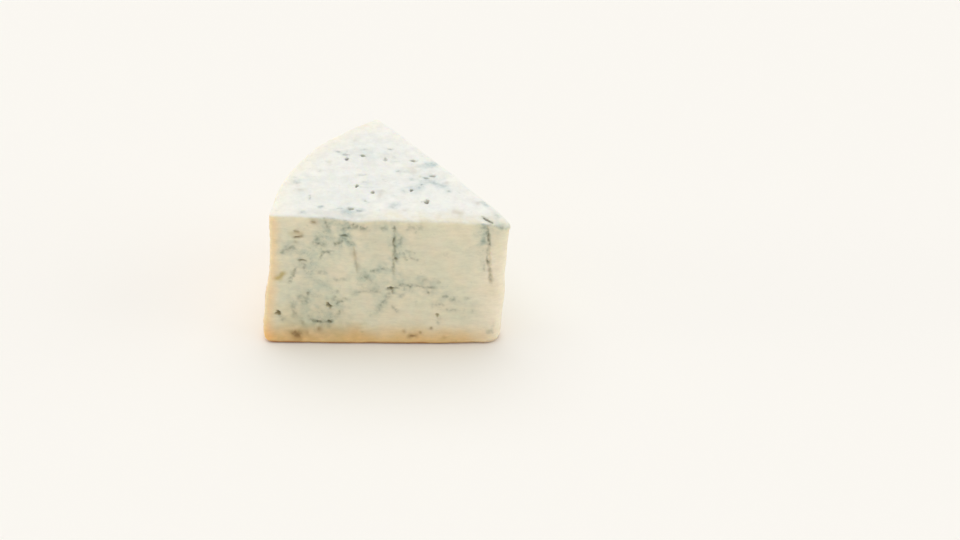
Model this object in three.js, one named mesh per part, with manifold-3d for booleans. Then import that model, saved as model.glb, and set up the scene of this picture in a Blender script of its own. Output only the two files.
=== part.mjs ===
// A wedge of blue-veined cow's milk cheese, cut from a large wheel. Millimetres, +Z up.
//
// The wheel was first halved by a level cut, so the top is a cut face and the wedge stands on the wheel's
// flat rind. Two upright cuts run from near the wheel's axis, at the wedge's tip, to the round rind. Steel
// needles went down through the wheel while it ripened: cut across they show as small holes in the top, and
// cut along as upright grooves in the two upright faces. Pockets between the curds, where blue mould grows,
// are open in every cut.
//
// The shape is a sharp wedge of triangles that is drawn onto a rounded, slightly wavy one, and then let
// sag. While it is made, the wheel's axis is the Z axis, the front cut runs along -X and faces -Y, and the
// back cut runs towards +Y.
import * as THREE from "three";
import { mergeVertices } from "three/addons/utils/BufferGeometryUtils.js";
import Module from "manifold-3d";

const { clamp, degToRad, lerp, smoothstep } = THREE.MathUtils;

// Driving dimensions
const WHEEL_RADIUS = 145; // from the wheel's axis to the rind, at the top
const WEDGE_ANGLE = degToRad(52.9);
const RIND_HEIGHT = 86.5; // at the rind, half of the whole wheel
const TIP_HEIGHT = 83.3; // towards the tip, where the wheel's middle has sunk
const RIND_EDGE_RADIUS = 5.5; // round edge between the wheel's side and its flat rind
const CUT_EDGE_RADIUS = 2.4; // edges left by the knife, softened since
const TIP_LIP_RADIUS = 4; // tip between the upright cuts, at its top, where a thin lip stands out
const TIP_NECK_RADIUS = 10; // the same, just below that lip
const TIP_FOOT_RADIUS = 14; // the same, from the middle down
const TIP_DROOP = 3.5; // how far the lip hangs
const SIDE_BULGE = 4.7; // how far the rind's foot has spread past the wheel's radius
const SIDE_BULGE_REACH = 48; // how far in from the rind that spreading is felt
const TIP_FOOT_SLIP = 5; // how much farther back the tip's foot lies than its middle
const TIP_REACH = 34; // how far from the tip that slip is felt
const CUT_FOOT_SPREAD = 4; // how far the foot of an upright cut has spread out of its plane
const CUT_FOOT_HEIGHT = 20; // height below which that spreading starts
const NEEDLE_RADIUS = 1.1;
const NEEDLE_HOLE_DEPTH = 5; // open depth of a needle hole in the top, closed below by the soft paste
const GROOVE_DEPTH = 0.8; // how deep a needle's path lies open in an upright cut

// Mesh fineness: rows of triangles from the tip to the rind, rows up each wall, and sides of a needle hole
const RADIAL_ROWS = 36;
const WALL_ROWS = 22;
const NEEDLE_SIDES = 8;

// The sharp tip is drawn back before it is rounded, or triangles would fold over there: how far at its edge,
// and how far from the wheel's axis that is felt, both in the tip's radii
const TIP_PULL = 0.66;
const TIP_PULL_REACH = 2;

// The foot stands on the flat between four points of the mesh, given by row and place, and its rim is clear.
const STANDS = [
  [6, 3],
  [34, 33],
  [34, 17],
  [34, 1],
];
const RIM_LIFT = 0.3;

// The upright cuts: the level way along each from the wheel's axis, the way it faces, how far its middle
// stands out, and where its waves start
const FRONT_CUT = {
  along: new THREE.Vector3(-1, 0, 0),
  outward: new THREE.Vector3(0, -1, 0),
  belly: 0,
  phase: 0.4,
};
const BACK_CUT = {
  along: new THREE.Vector3(-Math.cos(WEDGE_ANGLE), Math.sin(WEDGE_ANGLE), 0),
  outward: new THREE.Vector3(Math.sin(WEDGE_ANGLE), Math.cos(WEDGE_ANGLE), 0),
  belly: 1.8,
  phase: -0.3,
};

const INTO_WEDGE = new THREE.Vector3(-Math.cos(WEDGE_ANGLE / 2), Math.sin(WEDGE_ANGLE / 2), 0);

// Pockets open in an upright cut: distance from the wheel's axis, height, length, width, and tilt in degrees
const FRONT_POCKETS = [
  [128.5, 76, 4.2, 1.8, 8],
  [128, 72.5, 4.6, 2, -6],
  [141, 19, 3.4, 3, 35],
  [125.5, 56, 4.6, 2, 0],
  [100.5, 74, 4.4, 1.8, 5],
  [104.5, 68.5, 4.4, 1.6, 30],
  [111, 25, 4.6, 3, 35],
  [116.5, 13.5, 3.8, 2, 0],
  [111, 13.5, 3.8, 2, 0],
  [130, 6, 5.4, 3.4, 10],
  [74.5, 38, 4.8, 2, -8],
  [47, 19.5, 2.4, 2.6, 0],
];
const BACK_POCKETS = [
  [24, 52, 3.4, 2, 20],
  [31, 14, 2.8, 2.2, 0],
  [46, 67, 4.6, 2.2, -10],
  [58, 28, 4, 2.4, 25],
  [77, 71, 3.2, 1.8, 0],
  [84, 44, 4.8, 2.6, 12],
  [97, 19, 4.2, 2.6, -20],
  [112, 73, 4.4, 2, 0],
  [120, 38, 4, 2.8, 30],
  [133, 61, 3.2, 2, -15],
  [128, 11, 4.6, 2.4, 5],
];

// Pockets open in the top cut: X, Y, length, width, and tilt in degrees
const TOP_POCKETS = [
  [-109, 74, 3.2, 1.6, 0],
  [-94, 71, 3.4, 2.4, 0],
  [-63.5, 69, 4.2, 2.4, 10],
  [-51.5, 53, 4, 2.2, -10],
  [-97.5, 13, 3.6, 2.4, 0],
  [-53.5, 23, 2.6, 5, 0],
  [-17.5, 5, 8, 1.6, -40],
];

// Needle holes in the top cut: X, Y
const TOP_NEEDLES = [
  [-103, 66.5],
  [-80.5, 69],
  [-95.5, 38.5],
  [-86, 32],
  [-63.5, 36],
];

// Needle paths in the upright cuts: distance from the wheel's axis and height of the foot, then of the head
const FRONT_NEEDLES = [
  [72.5, 48, 71.5, 80],
  [93.5, 49, 95.5, 66],
  [15.5, 43, 17, 84],
];
const BACK_NEEDLES = [
  [39, 22, 38, 80],
  [65.5, 46, 66, 92],
  [107, 12, 108.5, 58],
];

// 1 at the distance 0, falling to nothing past the width
const dome = (distance, width) => Math.exp(-((distance / width) ** 2));

// 0 at the top of the rind and 1 at its foot
const dropFromTop = (height) => clamp(1 - height / RIND_HEIGHT, 0, 1);

// Height of the top cut: highest along the rind and raised a little along the front cut, with a shallow dip
// in that edge and a drooping tip.
function topHeight(x, y) {
  const fromAxis = Math.hypot(x, y);
  const rise = smoothstep(fromAxis / WHEEL_RADIUS, 0.5, 1.05);
  const crest = 0.9 * smoothstep(fromAxis, 12, 40) * (1 - smoothstep(fromAxis, 122, 142));
  const dip = 0.9 * dome(x + 93, 8);
  const droop = TIP_DROOP * dome(fromAxis, 13);
  const swell = 0.3 * Math.sin(x / 11 + 1.3) * Math.sin(y / 14 + 0.4);
  return lerp(TIP_HEIGHT, RIND_HEIGHT, rise) + (crest - dip) * dome(y, 20) - droop + swell;
}

// How far an upright cut stands out from its plane.
function cutWave(cut, along, height) {
  const belly = cut.belly * Math.sin(Math.PI * clamp(along / WHEEL_RADIUS, 0, 1));
  const footShare = clamp(1 - height / CUT_FOOT_HEIGHT, 0, 1) ** 2;
  const foot = CUT_FOOT_SPREAD * footShare * smoothstep(along, 0, 80);
  const broad = 0.55 * Math.sin(along / 17 + cut.phase) * Math.cos(height / 21 + 2 * cut.phase);
  const fine = 0.22 * Math.sin(along / 6.1 - height / 9 + cut.phase) * Math.sin(height / 7.3 + along / 23);
  return belly + foot + broad + fine;
}

// How far the rind stands out from the wheel's radius, at an arc length from the front cut.
function rindWave(arc, height) {
  const broad = 0.7 * Math.sin(arc / 19 + 0.6) * Math.sin(height / 24 + 0.9);
  const fine = 0.3 * Math.sin(arc / 5.3 + height / 11) * Math.cos(height / 6.7 - arc / 31);
  return broad + fine;
}

// Signed distances, negative inside: first to one upright cut, then to all that two of them enclose
// together, with the edge between them rounded.
function cutDistance(cut, p) {
  return cut.outward.dot(p) - cutWave(cut, cut.along.dot(p), p.z);
}

function insideBoth(a, b, edgeRadius) {
  const rounded = Math.hypot(Math.max(edgeRadius + a, 0), Math.max(edgeRadius + b, 0));
  return Math.min(-edgeRadius, Math.max(a, b)) + rounded;
}

// The tip's radius: small in the lip, more just below it, and most from the middle down.
function tipRadius(height) {
  const drop = dropFromTop(height);
  const neck = (TIP_NECK_RADIUS - TIP_LIP_RADIUS) * smoothstep(drop, 0.03, 0.12);
  return TIP_LIP_RADIUS + neck + (TIP_FOOT_RADIUS - TIP_NECK_RADIUS) * smoothstep(drop, 0.12, 0.5);
}

// Signed distance to the rounded wedge before it sags.
function wedgeDistance(p) {
  const fromAxis = Math.hypot(p.x, p.y);
  const arc = WHEEL_RADIUS * Math.atan2(p.y, -p.x);
  const rind = fromAxis - WHEEL_RADIUS - rindWave(arc, p.z);
  const top = p.z - topHeight(p.x, p.y);
  const halfWheel = insideBoth(insideBoth(rind, -p.z, RIND_EDGE_RADIUS), top, CUT_EDGE_RADIUS);
  const betweenCuts = insideBoth(cutDistance(FRONT_CUT, p), cutDistance(BACK_CUT, p), tipRadius(p.z));
  return insideBoth(halfWheel, betweenCuts, CUT_EDGE_RADIUS);
}

// Moves a point of the sharp wedge onto the rounded one, down the slope of the distance.
function drawOntoWedge(p) {
  const step = 0.01;
  const slope = new THREE.Vector3();
  for (let pass = 0; pass < 4; pass++) {
    const here = wedgeDistance(p);
    for (const axis of ["x", "y", "z"]) {
      const beside = p.clone();
      beside[axis] += step;
      slope[axis] = (wedgeDistance(beside) - here) / step;
    }
    p.addScaledVector(slope, -here / slope.lengthSq());
  }
  return p;
}

// Lets the soft cheese settle: the rind's foot spreads outwards, and the tip's foot stays behind its top.
function sag(p) {
  const fromAxis = Math.hypot(p.x, p.y);
  const drop = dropFromTop(p.z);
  const nearRind = smoothstep(fromAxis, WHEEL_RADIUS - SIDE_BULGE_REACH, WHEEL_RADIUS);
  const nearTip = 1 - smoothstep(fromAxis, 0, TIP_REACH);
  const spread = SIDE_BULGE * nearRind * smoothstep(drop, 0.3, 0.9);
  const footSlip = TIP_FOOT_SLIP * Math.max(0, (drop - 0.55) / 0.45) ** 1.25;
  const outward = fromAxis > 0 ? spread / fromAxis : 0;
  p.x += p.x * outward - footSlip * nearTip;
  p.y += p.y * outward;
  return p;
}

// A point of the sharp wedge, with its faces already wavy: a place in a row from the front cut to the back
// cut, rows counting from the wheel's axis to the rind, and a share of the height.
function sharpPoint(row, place, share) {
  const outShare = row / RADIAL_ROWS;
  const backShare = row ? place / row : 0.5;
  const fromAxis = WHEEL_RADIUS * outShare;
  const angle = WEDGE_ANGLE * backShare;
  const out = new THREE.Vector3(-Math.cos(angle), Math.sin(angle), 0);
  const p = out.clone().multiplyScalar(fromAxis);
  p.z = share * topHeight(p.x, p.y);
  const rindShift = outShare * rindWave(WHEEL_RADIUS * angle, p.z);
  const frontShift = (1 - backShare) * cutWave(FRONT_CUT, fromAxis, p.z);
  const backShift = backShare * cutWave(BACK_CUT, fromAxis, p.z);
  p.addScaledVector(out, rindShift);
  p.addScaledVector(FRONT_CUT.outward, frontShift).addScaledVector(BACK_CUT.outward, backShift);
  const tip = tipRadius(p.z);
  const pull = TIP_PULL * tip * Math.max(0, 1 - fromAxis / (TIP_PULL_REACH * tip)) ** 2;
  return p.addScaledVector(INTO_WEDGE, pull);
}

// The sharp wedge. Every face is a grid whose edge points match its neighbour's.
function sharpWedge() {
  const corners = [];
  const triangle = (...points) => points.forEach((point) => corners.push(...sharpPoint(...point)));

  // Top and bottom: rows of triangles, each row one place longer than the row before it.
  for (let row = 0; row < RADIAL_ROWS; row++) {
    for (let place = 0; place <= row; place++) {
      triangle([row, place, 1], [row + 1, place + 1, 1], [row + 1, place, 1]);
      triangle([row, place, 0], [row + 1, place, 0], [row + 1, place + 1, 0]);
      if (place < row) {
        triangle([row, place, 1], [row, place + 1, 1], [row + 1, place + 1, 1]);
        triangle([row, place, 0], [row + 1, place + 1, 0], [row, place + 1, 0]);
      }
    }
  }

  // Walls: out along the front cut, round the rind and back to the tip along the back cut.
  const outline = [];
  for (let row = 0; row < RADIAL_ROWS; row++) outline.push([row, 0]);
  for (let place = 0; place < RADIAL_ROWS; place++) outline.push([RADIAL_ROWS, place]);
  for (let row = RADIAL_ROWS; row > 0; row--) outline.push([row, row]);
  outline.forEach((here, i) => {
    const next = outline[(i + 1) % outline.length];
    for (let row = 0; row < WALL_ROWS; row++) {
      const low = row / WALL_ROWS;
      const high = (row + 1) / WALL_ROWS;
      triangle([...here, low], [...next, high], [...next, low]);
      triangle([...here, low], [...here, high], [...next, high]);
    }
  });

  const geometry = new THREE.BufferGeometry();
  geometry.setAttribute("position", new THREE.Float32BufferAttribute(corners, 3));
  return mergeVertices(geometry, 1e-3);
}

// Whether a point's plan lies inside corners that go round anticlockwise, seen from above.
function insideCorners(p, corners) {
  return corners.every((corner, i) => {
    const next = corners[(i + 1) % corners.length];
    const cross = (next.x - corner.x) * (p.y - corner.y) - (next.y - corner.y) * (p.x - corner.x);
    return cross > -0.01 * next.distanceTo(corner);
  });
}

function wedgeGeometry() {
  const geometry = sharpWedge();
  const position = geometry.getAttribute("position");
  const stands = STANDS.map(([row, place]) => sag(drawOntoWedge(sharpPoint(row, place, 0))));
  const p = new THREE.Vector3();
  for (let i = 0; i < position.count; i++) {
    sag(drawOntoWedge(p.fromBufferAttribute(position, i)));
    if (!insideCorners(p, stands)) p.z = Math.max(p.z, RIM_LIFT);
    position.setXYZ(i, p.x, p.y, p.z);
  }
  return geometry;
}

// Leaves only positions, with shared corners merged, which is what a solid is made from.
function positionsOnly(geometry) {
  geometry.deleteAttribute("normal");
  geometry.deleteAttribute("uv");
  return mergeVertices(geometry, 1e-4);
}

// An uneven lump that takes out a pocket: its length along X, its width along Y and its depth along Z.
function pocketGeometry(length, width, depth) {
  const geometry = positionsOnly(new THREE.IcosahedronGeometry(1, 1));
  const position = geometry.getAttribute("position");
  const p = new THREE.Vector3();
  for (let i = 0; i < position.count; i++) {
    p.fromBufferAttribute(position, i);
    p.multiplyScalar(1 + 0.16 * Math.sin(5 * p.x + 3 * p.y + length) * Math.cos(4 * p.z + width));
    position.setXYZ(i, (p.x * length) / 2, (p.y * width) / 2, p.z * depth);
  }
  return geometry;
}

function needleGeometry(foot, head) {
  const along = new THREE.Vector3().subVectors(head, foot);
  const middle = new THREE.Vector3().lerpVectors(foot, head, 0.5);
  const rod = new THREE.CylinderGeometry(NEEDLE_RADIUS, NEEDLE_RADIUS, along.length(), NEEDLE_SIDES);
  const turn = new THREE.Quaternion().setFromUnitVectors(new THREE.Vector3(0, 1, 0), along.normalize());
  return positionsOnly(rod).applyQuaternion(turn).translate(middle.x, middle.y, middle.z);
}

// The point of an upright cut at a distance from the wheel's axis and a height, moved outwards.
function onCut(cut, fromAxis, height, outwards = 0) {
  const point = new THREE.Vector3(0, 0, height).addScaledVector(cut.along, fromAxis);
  return point.addScaledVector(cut.outward, cutWave(cut, fromAxis, height) + outwards);
}

// What is taken out of the wedge, each piece already in its place.
function openings() {
  const pieces = [];
  const up = new THREE.Vector3(0, 0, 1);
  for (const [cut, pockets] of [[FRONT_CUT, FRONT_POCKETS], [BACK_CUT, BACK_POCKETS]]) {
    const upright = new THREE.Matrix4().makeBasis(cut.along, up, cut.along.clone().cross(up));
    for (const [fromAxis, height, length, width, tilt] of pockets) {
      const { x, y, z } = onCut(cut, fromAxis, height);
      const pocket = pocketGeometry(length, width, 0.8 * width).rotateZ(degToRad(tilt));
      pieces.push(pocket.applyMatrix4(upright).translate(x, y, z));
    }
  }
  for (const [x, y, length, width, tilt] of TOP_POCKETS) {
    const pocket = pocketGeometry(length, width, width);
    pieces.push(pocket.rotateZ(degToRad(tilt)).translate(x, y, topHeight(x, y)));
  }
  for (const [x, y] of TOP_NEEDLES) {
    const top = topHeight(x, y);
    const foot = new THREE.Vector3(x, y, top - NEEDLE_HOLE_DEPTH);
    pieces.push(needleGeometry(foot, new THREE.Vector3(x, y, top + NEEDLE_HOLE_DEPTH)));
  }
  const outwards = NEEDLE_RADIUS - GROOVE_DEPTH;
  for (const [cut, needles] of [[FRONT_CUT, FRONT_NEEDLES], [BACK_CUT, BACK_NEEDLES]]) {
    for (const [footFromAxis, footHeight, headFromAxis, headHeight] of needles) {
      const foot = onCut(cut, footFromAxis, footHeight, outwards);
      pieces.push(needleGeometry(foot, onCut(cut, headFromAxis, headHeight, outwards)));
    }
  }
  return pieces;
}

const wasm = await Module();
wasm.setup();

function toSolid(geometry) {
  return new wasm.Manifold(
    new wasm.Mesh({
      numProp: 3,
      vertProperties: new Float32Array(geometry.getAttribute("position").array),
      triVerts: new Uint32Array(geometry.index.array),
    }),
  );
}

function toGeometry(solid) {
  const mesh = solid.getMesh();
  const geometry = new THREE.BufferGeometry();
  geometry.setAttribute("position", new THREE.BufferAttribute(mesh.vertProperties, 3));
  geometry.setIndex(new THREE.BufferAttribute(mesh.triVerts, 1));
  return geometry;
}

// Stands the geometry on Z 0, with the middle of its plan at the origin.
function standAtOrigin(geometry) {
  geometry.computeBoundingBox();
  const { min, max } = geometry.boundingBox;
  return geometry.translate(-(min.x + max.x) / 2, -(min.y + max.y) / 2, -min.z);
}

function cheeseGeometry() {
  let solid = toSolid(wedgeGeometry());
  for (const opening of openings()) solid = solid.subtract(toSolid(opening));
  return standAtOrigin(toGeometry(solid));
}

const paste = new THREE.MeshStandardMaterial({ color: 0xeee8d2, roughness: 0.55, metalness: 0 });
const cheese = new THREE.Mesh(cheeseGeometry(), paste);
cheese.name = "cheese";

const wedge = new THREE.Group();
wedge.name = "blue_cheese_wedge";
wedge.add(cheese);

export default wedge;
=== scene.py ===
"""Dresses the wedge of blue cheese: its creamy paste, blue mould, pockets, needle holes and thin rind.

The shape is worked out in millimetres in the wheel's own axes, as in the CAD model: the wheel's axis is the
Z axis, the front cut runs along -X and faces -Y, and the back cut runs towards +Y. A point of an upright cut
is given by its distance along the cut from the wheel's axis and its height, and a point of the top cut by
its X and Y.
"""

import itertools
import math

import bpy
import numpy as np
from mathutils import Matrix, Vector


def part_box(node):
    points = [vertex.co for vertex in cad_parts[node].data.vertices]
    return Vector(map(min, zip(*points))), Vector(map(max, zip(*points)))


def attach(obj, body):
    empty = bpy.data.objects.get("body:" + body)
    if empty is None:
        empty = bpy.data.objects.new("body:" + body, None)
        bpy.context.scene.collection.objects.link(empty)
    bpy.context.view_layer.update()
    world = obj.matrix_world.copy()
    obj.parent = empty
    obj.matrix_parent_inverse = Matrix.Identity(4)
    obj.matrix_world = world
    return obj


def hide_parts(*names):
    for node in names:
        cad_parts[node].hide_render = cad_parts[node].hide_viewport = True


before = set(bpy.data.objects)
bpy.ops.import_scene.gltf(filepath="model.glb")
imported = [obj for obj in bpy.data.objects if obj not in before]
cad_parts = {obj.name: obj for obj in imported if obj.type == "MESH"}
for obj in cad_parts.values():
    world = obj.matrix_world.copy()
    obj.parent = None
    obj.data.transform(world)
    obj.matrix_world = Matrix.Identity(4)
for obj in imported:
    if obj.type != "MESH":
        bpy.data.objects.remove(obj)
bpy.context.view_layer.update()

MM = 0.001

# ---------------------------------------------------------------- driving dimensions, as in the CAD model
WHEEL_RADIUS = 145.0  # from the wheel's axis to the rind, at the top
WEDGE_ANGLE = math.radians(52.9)
RIND_HEIGHT = 86.5  # at the rind, half of the whole wheel
TIP_HEIGHT = 83.3  # towards the tip, where the wheel's middle has sunk
RIND_EDGE_RADIUS = 5.5  # round edge between the wheel's side and its flat rind
CUT_EDGE_RADIUS = 2.4  # edges left by the knife, softened since
TIP_LIP_RADIUS = 4.0  # tip between the upright cuts, at its top, where a thin lip stands out
TIP_NECK_RADIUS = 10.0  # the same, just below that lip
TIP_FOOT_RADIUS = 14.0  # the same, from the middle down
TIP_DROOP = 3.5  # how far the lip hangs
SIDE_BULGE = 4.7  # how far the rind's foot has spread past the wheel's radius
SIDE_BULGE_REACH = 48.0  # how far in from the rind that spreading is felt
TIP_FOOT_SLIP = 5.0  # how much farther back the tip's foot lies than its middle
TIP_REACH = 34.0  # how far from the tip that slip is felt
CUT_FOOT_SPREAD = 4.0  # how far the foot of an upright cut has spread out of its plane
CUT_FOOT_HEIGHT = 20.0  # height below which that spreading starts
NEEDLE_RADIUS = 1.1

# The sharp tip is drawn back before it is rounded, or triangles would fold over there: how far at its edge,
# and how far from the wheel's axis that is felt, both in the tip's radii
TIP_PULL = 0.66
TIP_PULL_REACH = 2.0

# ---------------------------------------------------------------- how fine the mesh is
RADIAL_ROWS = 90  # rows of the first, coarse triangles from the tip to the rind
WALL_ROWS = 54  # and up each wall
REFINING_ROUNDS = 4
HIDDEN_EDGE = 2.4  # longest edge that refining leaves, on the back cut and the base
SHOWN_EDGE = 1.2  # on the front and top cuts and the round rind
DETAIL_EDGE = 0.6  # where two sides meet, and at pockets, needle paths and veins
MEETING = 1.6  # nearness to all sides together, above which two of them meet
VEIN_SHOWS = 0.12  # strength of a vein that needs fine triangles
ROUNDING_STEPS = 4  # steps in which the sharp wedge's points are drawn onto the rounded one

# Depth below a side at which a point starts to be part of it, and from which it wholly is
SIDE_BAND = (-1.8, -0.5)

# ---------------------------------------------------------------- how marks are drawn
STROKE_WIDTH = 1.3  # how wide a stroke's soft profile is, for a width of 1
STROKE_WOBBLE = 0.6  # and how much wider or thinner the wobble makes it
STROKE_WARP = {"haze": 1.1, "vein": 0.5, "stain": 0.5, "ochre": 0.5}  # how far a stroke's line wavers
POCKET_WARP = 0.25
POCKET_WALL = (0.3, 1.2)  # where a pocket's wall starts to rise and where it ends, in its half sizes
POCKET_SHADE = (0.2, 1.5)  # where the darkness in it starts to fade and where it ends
# The most darkness inside a pocket, partly its mould and partly painted shade
DARKEST = 0.85
NEEDLE_WALL = (0.2, 1.1)  # where a needle path's wall starts to rise and where it ends, in its radii
NEEDLE_PATH_DEPTH = 0.45
# Darkness in a needle path: partly mould, partly painted shade in the groove
NEEDLE_PATH_MOULD_AND_SHADE = 0.12
VEIN_DEPTH = 0.12
RIM_REACH = 16.0  # how far in from the rind the paste is warmer
# The foot's warm tint is partly the rind's colour seeping in and partly painted warm bounce light and shade
# near the floor
FOOT_HEIGHT = 15.0  # height up to which the foot has a warm tint
HOLE_LENGTH = 2.0  # of a needle hole in the top, in the needle's radii
HOLE_WIDTH = 2.9

# Ranges of strength and width for mould that is drawn at random, and how it wanders
HAZE_RANGES = ((0.25, 0.5), (3.0, 6.0))
VEIN_RANGES = ((0.3, 0.7), (0.7, 1.2))
FLECK_RANGES = ((0.2, 0.4), (0.7, 1.1))
WANDER_STEP = (2, 5)
WANDER_TURN = 0.7


# ---------------------------------------------------------------- small mathematics
def smoothstep(x, low, high):
    t = np.clip((x - low) / (high - low), 0, 1)
    return t * t * (3 - 2 * t)


def dome(distance, width):
    return np.exp(-((distance / width) ** 2))


def make_noise(seed):
    """Returns smooth gradient noise, about -1 to 1, as a function of points and the size of its lumps.

    Each shift gives other lumps of the same size.
    """
    table_size = 256
    gain = 1.7
    draw = np.random.default_rng(seed)
    order = draw.permutation(table_size)
    slopes = draw.normal(size=(table_size, 3))
    slopes /= np.linalg.norm(slopes, axis=1, keepdims=True)

    def noise(points, size, shift=0.0):
        cell = points / size + shift
        base = np.floor(cell).astype(int)
        part = cell - base
        fade = part ** 3 * (part * (part * 6 - 15) + 10)
        total = np.zeros(len(points))
        for corner in itertools.product((0, 1), repeat=3):
            i, j, k = (base + corner).T % table_size
            slope = slopes[order[(order[(order[i] + j) % table_size] + k) % table_size]]
            weight = np.prod(np.where(corner, fade, 1 - fade), axis=1)
            total += weight * np.sum(slope * (part - corner), axis=1)
        return gain * total

    return noise


noise = make_noise(seed=41)


def path_distance(flat, path):
    """Distance from each flat point to a line through the points of a path."""
    path = np.array(path, dtype=float)
    if len(path) == 1:
        return np.linalg.norm(flat - path[0], axis=1)
    nearest = np.full(len(flat), np.inf)
    for start, end in zip(path[:-1], path[1:]):
        along = end - start
        share = np.clip((flat - start) @ along / (along @ along), 0, 1)
        nearest = np.minimum(nearest, np.linalg.norm(flat - start - share[:, None] * along, axis=1))
    return nearest


# ---------------------------------------------------------------- the wedge's shape
# Its bare numbers are the CAD model's: the heights, lengths and starts of waves, and where forms begin
# and end.
class Cut:
    """An upright cut: the level way along it, the way it faces, its middle's belly, and its waves' start."""

    def __init__(self, along, outward, belly, phase):
        self.along, self.outward = np.array(along), np.array(outward)
        self.belly, self.phase = belly, phase

    def wave(self, along, height):
        belly = self.belly * np.sin(np.pi * np.clip(along / WHEEL_RADIUS, 0, 1))
        foot_share = np.clip(1 - height / CUT_FOOT_HEIGHT, 0, 1) ** 2
        foot = CUT_FOOT_SPREAD * foot_share * smoothstep(along, 0, 80)
        broad = 0.55 * np.sin(along / 17 + self.phase) * np.cos(height / 21 + 2 * self.phase)
        fine = 0.22 * np.sin(along / 6.1 - height / 9 + self.phase) * np.sin(height / 7.3 + along / 23)
        return belly + foot + broad + fine

    def distance(self, p):
        return p @ self.outward - self.wave(p @ self.along, p[:, 2])

    def flat(self, p):
        return np.stack([p @ self.along, p[:, 2]], axis=1)


FRONT_CUT = Cut(along=(-1, 0, 0), outward=(0, -1, 0), belly=0.0, phase=0.4)
BACK_CUT = Cut(
    along=(-math.cos(WEDGE_ANGLE), math.sin(WEDGE_ANGLE), 0),
    outward=(math.sin(WEDGE_ANGLE), math.cos(WEDGE_ANGLE), 0),
    belly=1.8,
    phase=-0.3,
)
INTO_WEDGE = (-math.cos(WEDGE_ANGLE / 2), math.sin(WEDGE_ANGLE / 2), 0)


def from_axis(p):
    return np.hypot(p[:, 0], p[:, 1])


def drop_from_top(height):
    """0 at the top of the rind and 1 at its foot."""
    return np.clip(1 - height / RIND_HEIGHT, 0, 1)


def top_height(p):
    """Height of the top cut.

    It is highest along the rind and raised a little along the front cut, with a shallow dip in that edge and
    a drooping tip.
    """
    x, y, reach = p[:, 0], p[:, 1], from_axis(p)
    rise = smoothstep(reach / WHEEL_RADIUS, 0.5, 1.05)
    crest = 0.9 * smoothstep(reach, 12, 40) * (1 - smoothstep(reach, 122, 142))
    dip = 0.9 * dome(x + 93, 8)
    droop = TIP_DROOP * dome(reach, 13)
    swell = 0.3 * np.sin(x / 11 + 1.3) * np.sin(y / 14 + 0.4)
    return TIP_HEIGHT + (RIND_HEIGHT - TIP_HEIGHT) * rise + (crest - dip) * dome(y, 20) - droop + swell


def rind_wave(arc, height):
    broad = 0.7 * np.sin(arc / 19 + 0.6) * np.sin(height / 24 + 0.9)
    fine = 0.3 * np.sin(arc / 5.3 + height / 11) * np.cos(height / 6.7 - arc / 31)
    return broad + fine


def rind_distance(p):
    arc = WHEEL_RADIUS * np.arctan2(p[:, 1], -p[:, 0])
    return from_axis(p) - WHEEL_RADIUS - rind_wave(arc, p[:, 2])


def top_distance(p):
    return p[:, 2] - top_height(p)


def inside_both(a, b, edge_radius):
    """Distance from what lies inside two surfaces, given the distance from each, with a round edge."""
    rounded = np.hypot(np.maximum(edge_radius + a, 0), np.maximum(edge_radius + b, 0))
    return np.minimum(-edge_radius, np.maximum(a, b)) + rounded


def tip_radius(height):
    drop = drop_from_top(height)
    neck = (TIP_NECK_RADIUS - TIP_LIP_RADIUS) * smoothstep(drop, 0.03, 0.12)
    return TIP_LIP_RADIUS + neck + (TIP_FOOT_RADIUS - TIP_NECK_RADIUS) * smoothstep(drop, 0.12, 0.5)


def wedge_distance(p):
    rind_and_foot = inside_both(rind_distance(p), -p[:, 2], RIND_EDGE_RADIUS)
    half_wheel = inside_both(rind_and_foot, top_distance(p), CUT_EDGE_RADIUS)
    between_cuts = inside_both(FRONT_CUT.distance(p), BACK_CUT.distance(p), tip_radius(p[:, 2]))
    return inside_both(half_wheel, between_cuts, CUT_EDGE_RADIUS)


def wedge_slope(p, here):
    step = 0.01
    return np.stack([(wedge_distance(p + step * axis) - here) / step for axis in np.eye(3)], axis=1)


def draw_onto_wedge(p):
    """Moves the points of the sharp wedge onto the rounded one, and returns its outward directions too."""
    for _ in range(ROUNDING_STEPS):
        here = wedge_distance(p)
        slope = wedge_slope(p, here)
        p = p - slope * (here / np.sum(slope ** 2, axis=1))[:, None]
    slope = wedge_slope(p, wedge_distance(p))
    return p, slope / np.linalg.norm(slope, axis=1, keepdims=True)


def sag(p):
    """Lets the soft cheese settle: the rind's foot spreads, and the tip's foot stays behind its top."""
    reach = from_axis(p)
    drop = drop_from_top(p[:, 2])
    near_rind = smoothstep(reach, WHEEL_RADIUS - SIDE_BULGE_REACH, WHEEL_RADIUS)
    near_tip = 1 - smoothstep(reach, 0, TIP_REACH)
    outward = SIDE_BULGE * near_rind * smoothstep(drop, 0.3, 0.9) / np.maximum(reach, 1)
    foot_slip = TIP_FOOT_SLIP * np.maximum(0, (drop - 0.55) / 0.45) ** 1.25
    settled = p.copy()
    settled[:, :2] += p[:, :2] * outward[:, None]
    settled[:, 0] -= foot_slip * near_tip
    return settled


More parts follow.
